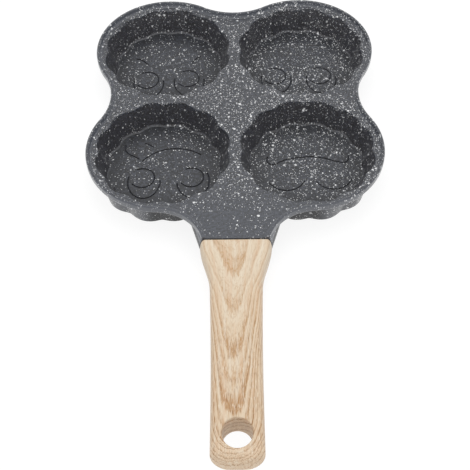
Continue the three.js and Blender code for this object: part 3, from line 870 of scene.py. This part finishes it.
class Graph:
    """The nodes of a material or of the world. An input is a number, a colour or a Value."""

    def __init__(self, name, kind=bpy.data.materials):
        self.owner = kind.new(name)
        self.owner.use_nodes = True
        self.tree = self.owner.node_tree
        self.tree.nodes.clear()

    def node(self, kind, inputs=(), **settings):
        node = self.tree.nodes.new(kind)
        for key, value in settings.items():
            setattr(node, key, value)
        for key, value in dict(inputs).items():
            if isinstance(value, Value):
                self.tree.links.new(value.socket, node.inputs[key])
            else:
                node.inputs[key].default_value = value
        return node

    def value(self, kind, inputs=(), output=0, **settings):
        return Value(self, self.node(kind, inputs, **settings).outputs[output])

    def math(self, operation, *values):
        return self.value("ShaderNodeMath", enumerate(values), operation=operation)

    def vector(self, operation, *values):
        return self.value("ShaderNodeVectorMath", enumerate(values), operation=operation)

    def mix(self, share, low, high):
        return self.value("ShaderNodeMix", {0: share, 6: low, 7: high}, output=2, data_type="RGBA")

    def coats(self, colour, *layers):
        """A colour with other colours laid over it, each by its share."""
        for share, layer in layers:
            colour = self.mix(share, colour, srgb(*layer))
        return colour

    def place(self, kind="Object"):
        return self.value("ShaderNodeTexCoord", output=kind)

    def millimetres(self, origin, tilt=0.0, forward=1):
        """A place in millimetres from an origin in the row frame: its three sides and the whole."""
        inputs = {"Vector": self.place(), "Location": origin, "Rotation": (tilt, 0, 0),
                  "Scale": (MM, forward * MM, MM)}
        place = self.value("ShaderNodeMapping", inputs, vector_type="TEXTURE")
        return (*self.split(place), place)

    def split(self, vector):
        return [Value(self, side) for side in self.node("ShaderNodeSeparateXYZ", {"Vector": vector}).outputs]

    def join(self, *sides):
        return self.value("ShaderNodeCombineXYZ", enumerate(sides))

    def noise(self, place, scale, detail=2.0, output="Fac"):
        inputs = {"Vector": place, "Scale": scale, "Detail": detail}
        return self.value("ShaderNodeTexNoise", inputs, output)

    def bump(self, height, strength, depth):
        inputs = {"Height": height, "Strength": strength, "Distance": depth * MM}
        return self.value("ShaderNodeBump", inputs)

    def finish(self, **inputs):
        names = {key.replace("_", " ").title().replace("Ior", "IOR"): value for key, value in inputs.items()}
        shader = self.value("ShaderNodeBsdfPrincipled", names)
        self.node("ShaderNodeOutputMaterial", {"Surface": shader})
        return self.owner


def srgb(red, green, blue):
    """A colour written as 0 to 255, as the shader wants it."""
    def linear(value):
        value /= 255
        return value / 12.92 if value <= 0.04045 else ((value + 0.055) / 1.055) ** 2.4
    return (linear(red), linear(green), linear(blue), 1)


def darker(colour, by):
    return srgb(*[channel - by for channel in colour])


class Coating(Graph):
    """Dark grey non-stick coating with white specks, most of them on the deck."""

    def __init__(self):
        super().__init__("speckled_coating")
        self.across, self.along, self.height, _ = self.millimetres(to_row((0, 0, 0)))
        self.upward = self.split(self.value("ShaderNodeNewGeometry", output="Normal"))[2]
        self.steep = self.upward.between(*STEEP_NORMAL)
        self.mottle = self.noise(self.place(), MOTTLE_NOISE, 3)
        self.find_cup()
        self.find_rim_and_neck()

    def find_cup(self):
        """Masks of the nearest cup: its outside and inside, the way up from its floor, and the painted shade
        on its floor near the walls.
        """
        sides = (self.across, self.along)
        cup_across, cup_along = [side - self.math("SIGN", side) * CUP_OFFSET for side in sides]
        from_axis = (cup_across * cup_across + cup_along * cup_along) ** 0.5
        wall_middle = CUP_BASE_RADIUS - CUP_BASE_WALL / 2
        self.outside = (from_axis - self.height * WALL_LEAN).between(wall_middle, wall_middle + 2 * EDGE_FADE)
        below_deck = self.height.between(DECK_Z - CUP_MOUTH_ROUND, DECK_Z - 2 * CUP_MOUTH_ROUND)
        self.in_cup = below_deck * (1 - self.outside)
        self.off_floor = self.height.between(FLOOR_Z + EDGE_FADE, FLOOR_Z + CUP_FLOOR_FILLET)
        # Painted shade on the floor near the wall: on the sides and the front, and fainter all round.
        near_sides = from_axis.between(27, 36) * cup_along.between(20, -4)
        near_front = cup_along.between(-16, -34)
        all_round = from_axis.between(18, 37, 0.0, 0.9)
        by_wall = most(near_sides, near_front, all_round)
        self.floor_edge_shade = self.in_cup * self.upward.between(*FLAT_NORMAL) * by_wall

    def find_rim_and_neck(self):
        """Masks of the rim's face, the cups' outer walls, the neck, and the painted shade on the outer walls
        beside the neck.
        """
        under_rim = self.height.between(FLANGE_Z + EDGE_FADE, FLANGE_Z - EDGE_FADE)
        outer_face = self.steep * self.outside
        self.on_neck = self.along.between(*NECK_FADE)
        self.rim_face = outer_face * (1 - under_rim) * (1 - self.on_neck)
        self.outer_wall = outer_face * under_rim
        # Painted shade that the neck would cast on the outer walls below the rim.
        self.wall_shade_by_neck = self.outer_wall * abs(self.across).between(59, 50) * self.along.between(-60, -70)

    def speck_density(self):
        """Share of a layer's specks that stay: fewer to the left, in the cups and on the neck."""
        clumps = self.noise(self.place(), CLUMP_NOISE).between(0.36, 0.6, 0.55, 1.0)
        left = self.across.between(60, -60)
        left_floor = self.in_cup * (1 - self.off_floor) * self.across.between(*MIDDLE_FADE)
        cup_wall = self.in_cup * self.off_floor * self.along.between(*MIDDLE_FADE, 0.2, 0.4)
        in_groove = (self.height < FLOOR_Z - GROOVE_DEPTH / 4) * self.upward.between(-0.05, 0.0)
        density = clumps * (1 - left * 0.3) * (1 - self.on_neck * 0.74) * (1 - self.in_cup * 0.25)
        return density * (1 - left_floor * 0.42) * (1 - cup_wall) * (1 - in_groove)

    def speck_layer(self, place, cell, smallest, largest, share):
        """Specks of one size range: how much of a speck covers a point, times its own brightness."""
        cells = self.node("ShaderNodeTexVoronoi", {"Vector": place, "Scale": 1 / (cell * MM)}).outputs
        distance, colour = Value(self, cells["Distance"]), Value(self, cells["Color"])
        size, chance, brightness = self.split(colour)
        radius = size.between(0, 1, smallest / cell, largest / cell, soft=False)
        cover = (distance / radius).between(1.0, 0.8)
        return cover * (chance < share) * brightness.between(0, 1, 0.6, 1.0, soft=False)

    def specks(self):
        """All layers of specks, with ragged edges."""
        place = self.place()
        wobble = self.vector("SUBTRACT", self.noise(place, RAGGED_NOISE, 1, "Color"), (0.5, 0.5, 0.5))
        ragged = self.vector("ADD", place, self.vector("MULTIPLY", wobble, [RAGGED_REACH * MM] * 3))
        density = self.speck_density()
        return most(*[self.speck_layer(ragged, *sizes, density * share) for *sizes, share in SPECKS])

    def ground(self):
        """Colour between the specks: mottled, with painted shade in the cups, at the floors' edges and on the
        walls by the neck, and painted light on the rim's face and the neck's flanks.
        """
        # Darker in the cups: painted shade.
        tone = self.mottle.between(0.38, 0.64) * (1 - self.in_cup * 0.15)
        # Painted light on the rim's outer face, fading towards the right, and a painted reflection on the
        # neck's steeper flanks.
        lit_rim = self.rim_face * self.across.between(50, 85, 0.75, 0.3)
        lit_neck = self.on_neck * self.upward.between(*STEEP_NORMAL, 0.25, 0.8)
        return self.coats(
            srgb(*COATING_DARK),
            (tone, COATING_GREY),
            (lit_rim + lit_neck, COATING_LIT),
            (self.in_cup * self.steep * 0.26, CUP_WALL_GREY),
            # Painted shade on the floors near the walls.
            (self.floor_edge_shade * 0.6, FLOOR_EDGE_SHADE),
            # Painted shade on the outer walls by the neck.
            (self.wall_shade_by_neck, NECK_SHADE_DARK),
        )

    def clear_coat(self):
        """Weight of the shine: full on the deck, less in the cups, least on the outer walls, and cut back
        where shade is painted at the floors' edges and by the neck.
        """
        weight = 0.77 - self.in_cup * 0.32
        return weight * (1 - self.outer_wall * 0.5) * (1 - self.floor_edge_shade * 0.6) * (1 - self.wall_shade_by_neck)

    def make(self):
        specks = self.specks()
        return self.finish(base_color=self.coats(self.ground(), (specks, SPECK_WHITE)), ior=1.45,
                           roughness=self.mottle.between(0.3, 0.7, 0.28, 0.38),
                           coat_weight=self.clear_coat(), coat_ior=1.5, coat_roughness=0.3,
                           normal=self.bump(self.mottle * 0.5 + specks * 0.6, 0.3, COATING_RELIEF))


class WoodGrain(Graph):
    """Light wood grain: nested arches that point to the handle's end, with feathered tips and fine pores."""

    def __init__(self):
        super().__init__("wood_grain")
        seam = to_row(to_pan((0, 0, 0)))
        across, self.along, self.depth, self.local = self.millimetres(seam, -HANDLE_TILT, -1)
        self.across = self.grain_across(across)
        off_middle = abs(self.across)
        by_hole = self.along.between(124, 136)
        self.calm = most(by_hole, off_middle.between(5, 9), self.depth.between(-0.8, -2))
        self.off_middle = off_middle * self.narrowing()
        self.flow = self.join(self.across, self.along, self.depth)

    def streaks(self, place, across_scale, along_scale, detail=2):
        """Noise drawn out along the handle."""
        stretched = self.vector("MULTIPLY", place, (across_scale, along_scale, across_scale))
        return self.noise(stretched, 1, detail)

    def sway(self, across_scale, along_scale, reach, detail=2):
        """A drift to both sides, as far as its reach."""
        return self.streaks(self.local, across_scale, along_scale, detail) * (2 * reach) - reach

    def grain_across(self, across):
        """Place across the grain, which splays with the shoulder and sways along the handle."""
        splay = abs(across).between(6, 16, 0.95, GRIP_START_WIDTH / HANDLE_FRONT_WIDTH)
        straight = across * self.along.between(SHOULDER_LENGTH, 0, 1.0, splay)
        return straight - GRAIN_MIDDLE + self.sway(0.03, 0.013, 2.5, 1) + self.sway(0.35, 0.04, 0.6)

    def narrowing(self):
        """How much narrower the arches get along the handle: wide at the seam, narrow at the end."""
        middle = self.along.band(40, 92, 138) * 0.22
        seam = self.along.between(45, 25, 0.0, -0.25)
        end = self.along.between(124, 146, 0.0, 0.4)
        return 1.0 + middle + seam + end

    def tip(self):
        """Each ring of the wood is named by the place, in mm from the seam, where its arch has its tip."""
        feathers = self.sway(0.8, 0.05, 7) + self.sway(1.8, 0.14, 6)
        ragged = self.along + feathers * (1 - self.calm * 0.85)
        past_hole = most(ragged - GRAIN_CROWD_START, 0.0)
        crowded = past_hole * past_hole * GRAIN_CROWDING
        pith = (ragged + crowded + GRAIN_START - self.depth * GRAIN_DEPTH_SLOPE) * GRAIN_SLOPE
        reach = (self.off_middle ** GRAIN_BLUNT + pith ** GRAIN_BLUNT) ** (1 / GRAIN_BLUNT)
        return reach * (1 / GRAIN_SLOPE) - GRAIN_START

    def arches(self, tip):
        """Dark wood inside the arches, their dark edges and the pale wood outside them."""
        dark_wood = edges = pale_wood = 0.0
        for arch, fade, dark, pale in GRAIN_ARCHES:
            dark_wood += tip.band(arch - fade, arch - 1, arch + 1.5) * dark
            edges += tip.band(arch - 4, arch - 1, arch + 1.5)
            pale_wood += tip.band(arch + 1, arch + 4, arch + 12) * pale
        lost_at_sides = self.calm * self.along.between(80, 30, 0.5, 0.7)
        return dark_wood * (1 - lost_at_sides), edges, pale_wood

    def side_lines(self, tip, edges):
        """Thin broken lines along the sides, where the arches run nearly straight."""
        ring = tip * (1 / GRAIN_LINE_SPACING)
        own = self.value("ShaderNodeTexWhiteNoise", {"W": self.math("FLOOR", ring)}, noise_dimensions="1D")
        lines = self.math("FRACT", ring).band(0.45, 0.8, 1.0) * own.between(0, 1, 0.3, 1.0)
        broken = self.streaks(self.local, 0.7, 0.045, 3).between(0.36, 0.56, 0.35, 1.0)
        strong = self.along.between(25, 85, 0.3, 1.0) * broken
        return (edges * 0.6 + lines * 0.5) * self.calm * strong

    def strokes(self):
        """Short chevron strokes that slant towards the middle."""
        slant = self.along + self.off_middle * 1.8 + self.sway(0.6, 0.1, 5)
        chevron = self.join(slant * 0.55, self.along * 0.1, self.across * 0.2)
        return self.noise(chevron, 1).between(0.5, 0.66) * (1 - self.calm)

    def plain_wood(self, shade):
        """Wood under its marks: pale at the seam, warmer towards the end and at the sides, and greyer below
        the top as painted shade.
        """
        pale, warm = [self.coats(srgb(*light), (shade, dark)) for light, dark in (WOOD_PALE, WOOD_WARM)]
        warm_side = self.off_middle.between(7, 11) * self.along.between(18, 45, 0.0, 0.8)
        tint = self.streaks(self.flow, 0.5, 0.016)
        return self.coats(
            self.mix(most(self.along.between(40, 95), warm_side), pale, warm),
            (tint.between(0.5, 0.62, 0.0, 0.4), WOOD_PINK),
            (tint.between(0.46, 0.36, 0.0, 0.35), WOOD_CREAM),
            (self.along.between(134, 146, 0.0, 0.4), WOOD_END),
            # Painted shade: greyer below the handle's top, on its sides, its underside and the hang hole's
            # wall.
            (self.depth.between(-1.5, -6, 0.0, 0.35) * self.along.between(142, 140), WOOD_SHADE_GREY),
        )

    def make(self):
        tip = self.tip()
        dark_wood, edges, pale_wood = self.arches(tip)
        lines = self.side_lines(tip, edges)
        fibre = self.streaks(self.flow, 2.2, 0.1, 3)
        dashes = self.streaks(self.flow, 1.8, 0.26)
        pores = dashes.between(0.55, 0.66)
        coarse = self.along.between(30, 95, 0.5, 1.0)
        flecks = dashes.between(0.45, 0.34) * coarse * 0.5
        fibre_shade = fibre.between(0.3, 0.75, 0.0, 0.25)
        colour = self.coats(
            self.plain_wood(dark_wood * 0.6 + lines * 0.9 + self.strokes() * 0.34 + fibre_shade),
            (lines * self.along.between(128, 140, 0.55, 0.8), WOOD_LINE),
            (pores * coarse * (dark_wood * 0.32 + 0.37), WOOD_PORE),
            (most(flecks, pale_wood), WOOD_FLECK),
        )
        return self.finish(base_color=colour, roughness=fibre.between(0.3, 0.7, 0.42, 0.56),
                           normal=self.bump(fibre - pores * 0.5, 0.18, WOOD_RELIEF))


def ring_brushed_steel(name, base):
    """Steel brushed in rings round each plate's own middle."""
    graph = Graph(name)
    place = graph.place("Generated")
    flat = graph.vector("MULTIPLY", graph.vector("SUBTRACT", place, (0.5, 0.5, 0.0)), (1.0, 1.0, 0.0))
    radius = graph.value("ShaderNodeVectorMath", {0: flat}, output="Value", operation="LENGTH")
    line = graph.noise(graph.join(radius), 160, 4)
    stain = graph.noise(place, 5, 3).between(0.45, 0.8, 0.0, 0.35)
    colour = graph.mix(line.between(0.3, 0.7), darker(base, 22), srgb(*base))
    return graph.finish(base_color=graph.mix(stain, colour, darker(base, 40)), metallic=1.0,
                        roughness=line.between(0.3, 0.7, 0.26, 0.42),
                        normal=graph.bump(line, 0.3, BRUSHED_RELIEF))


def plated_steel(name, base):
    """Small steel parts with a slightly uneven plating."""
    graph = Graph(name)
    place = graph.place()
    cloud = graph.noise(place, 600, 3).between(0.35, 0.7)
    scratch = graph.noise(graph.vector("MULTIPLY", place, (1.0, 6.0, 1.0)), 1500)
    return graph.finish(base_color=graph.mix(cloud, darker(base, 26), srgb(*base)), metallic=1.0,
                        roughness=scratch.between(0.3, 0.7, 0.24, 0.44),
                        normal=graph.bump(scratch, 0.15, PLATED_RELIEF))


def paint(piece, material):
    piece.data.materials.clear()
    piece.data.materials.append(material)


# Scene


def seen_directly(graph):
    """1 for rays that show a surface itself: from the camera, off gloss or through glass."""
    path = graph.node("ShaderNodeLightPath").outputs
    return most(*[Value(graph, path[f"Is {kind} Ray"]) for kind in ("Camera", "Glossy", "Transmission")])


def make_floor():
    corners = [(x * FLOOR_REACH * MM, y * FLOOR_REACH * MM, 0) for x, y in SQUARE]
    mesh = bpy.data.meshes.new("floor")
    mesh.from_pydata(corners, [], [(0, 1, 2, 3)])
    sheet = link("floor", mesh)
    graph = Graph("floor_white")
    direct = seen_directly(graph)
    white, seen_white = [(level, level, level, 1) for level in (FLOOR_WHITE, FLOOR_SEEN)]
    paint(sheet, graph.finish(base_color=graph.mix(direct, white, seen_white), roughness=1.0,
                              specular_ior_level=0.0, emission_color=(1, 1, 1, 1),
                              emission_strength=direct * FLOOR_LIFT))


def make_world():
    graph = Graph("studio", bpy.data.worlds)
    strength = seen_directly(graph).between(0, 1, WORLD_FILL, 1.0, soft=False)
    background = graph.value("ShaderNodeBackground", {"Color": (1, 1, 1, 1), "Strength": strength})
    graph.node("ShaderNodeOutputWorld", {"Surface": background})
    bpy.context.scene.world = graph.owner


def make_lamp():
    data = bpy.data.lights.new("key", "AREA")
    data.shape = "SQUARE"
    data.size = KEY_SIZE * MM
    data.energy = KEY_POWER
    lamp = link("key", data)
    away = Vector((0, KEY_BACK, KEY_HEIGHT)) * MM
    lamp.location = pan_middle + away
    lamp.rotation_euler = (-away).to_track_quat("-Z", "Y").to_euler()


def make_camera():
    data = bpy.data.cameras.new("camera")
    data.sensor_width = SENSOR_WIDTH
    data.lens = SENSOR_WIDTH * FOCAL_PIXELS / IMAGE_SIDE
    data.dof.use_dof = False
    camera = link("camera", data)
    bpy.context.scene.camera = camera
    middle = to_row((0, 0, CAMERA_AIM_Z))
    away = Vector((0, -cos(CAMERA_ELEVATION), sin(CAMERA_ELEVATION))) * CAMERA_DISTANCE * MM
    looking_at_middle = Matrix.Rotation(pi / 2 - CAMERA_ELEVATION, 4, "X")
    aside = atan2(MIDDLE_RIGHT_PIXELS, FOCAL_PIXELS)
    down = atan2(MIDDLE_DOWN_PIXELS, hypot(FOCAL_PIXELS, MIDDLE_RIGHT_PIXELS))
    turned = (Matrix.Rotation(aside, 4, "Y") @ Matrix.Rotation(down, 4, "X")
              @ Matrix.Rotation(CAMERA_ROLL, 4, "Z"))
    place = Matrix.Translation(middle) @ Matrix.Rotation(-CAMERA_YAW, 4, "Z") @ Matrix.Translation(away)
    camera.matrix_world = place @ looking_at_middle @ turned


pan_body = make_pan_body()
paint(pan_body, Coating().make())
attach(pan_body, BODY)
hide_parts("pan_body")

handle = make_handle()
paint(handle, WoodGrain().make())
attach(handle, BODY)
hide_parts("handle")

plate_steel = ring_brushed_steel("base_steel", PLATE_STEEL)
for cup_name in CUP_NAMES:
    paint(nodes[f"base_plate_{cup_name}"], plate_steel)
fastener_steel = plated_steel("fastener_steel", FASTENER_STEEL)
for fastener in ("handle_screw", "flat_washer"):
    paint(nodes[fastener], fastener_steel)
paint(nodes["spring_washer"], plated_steel("spring_steel", SPRING_STEEL))

make_floor()
make_world()
make_lamp()
make_camera()
bpy.context.scene.view_settings.view_transform = "Standard"
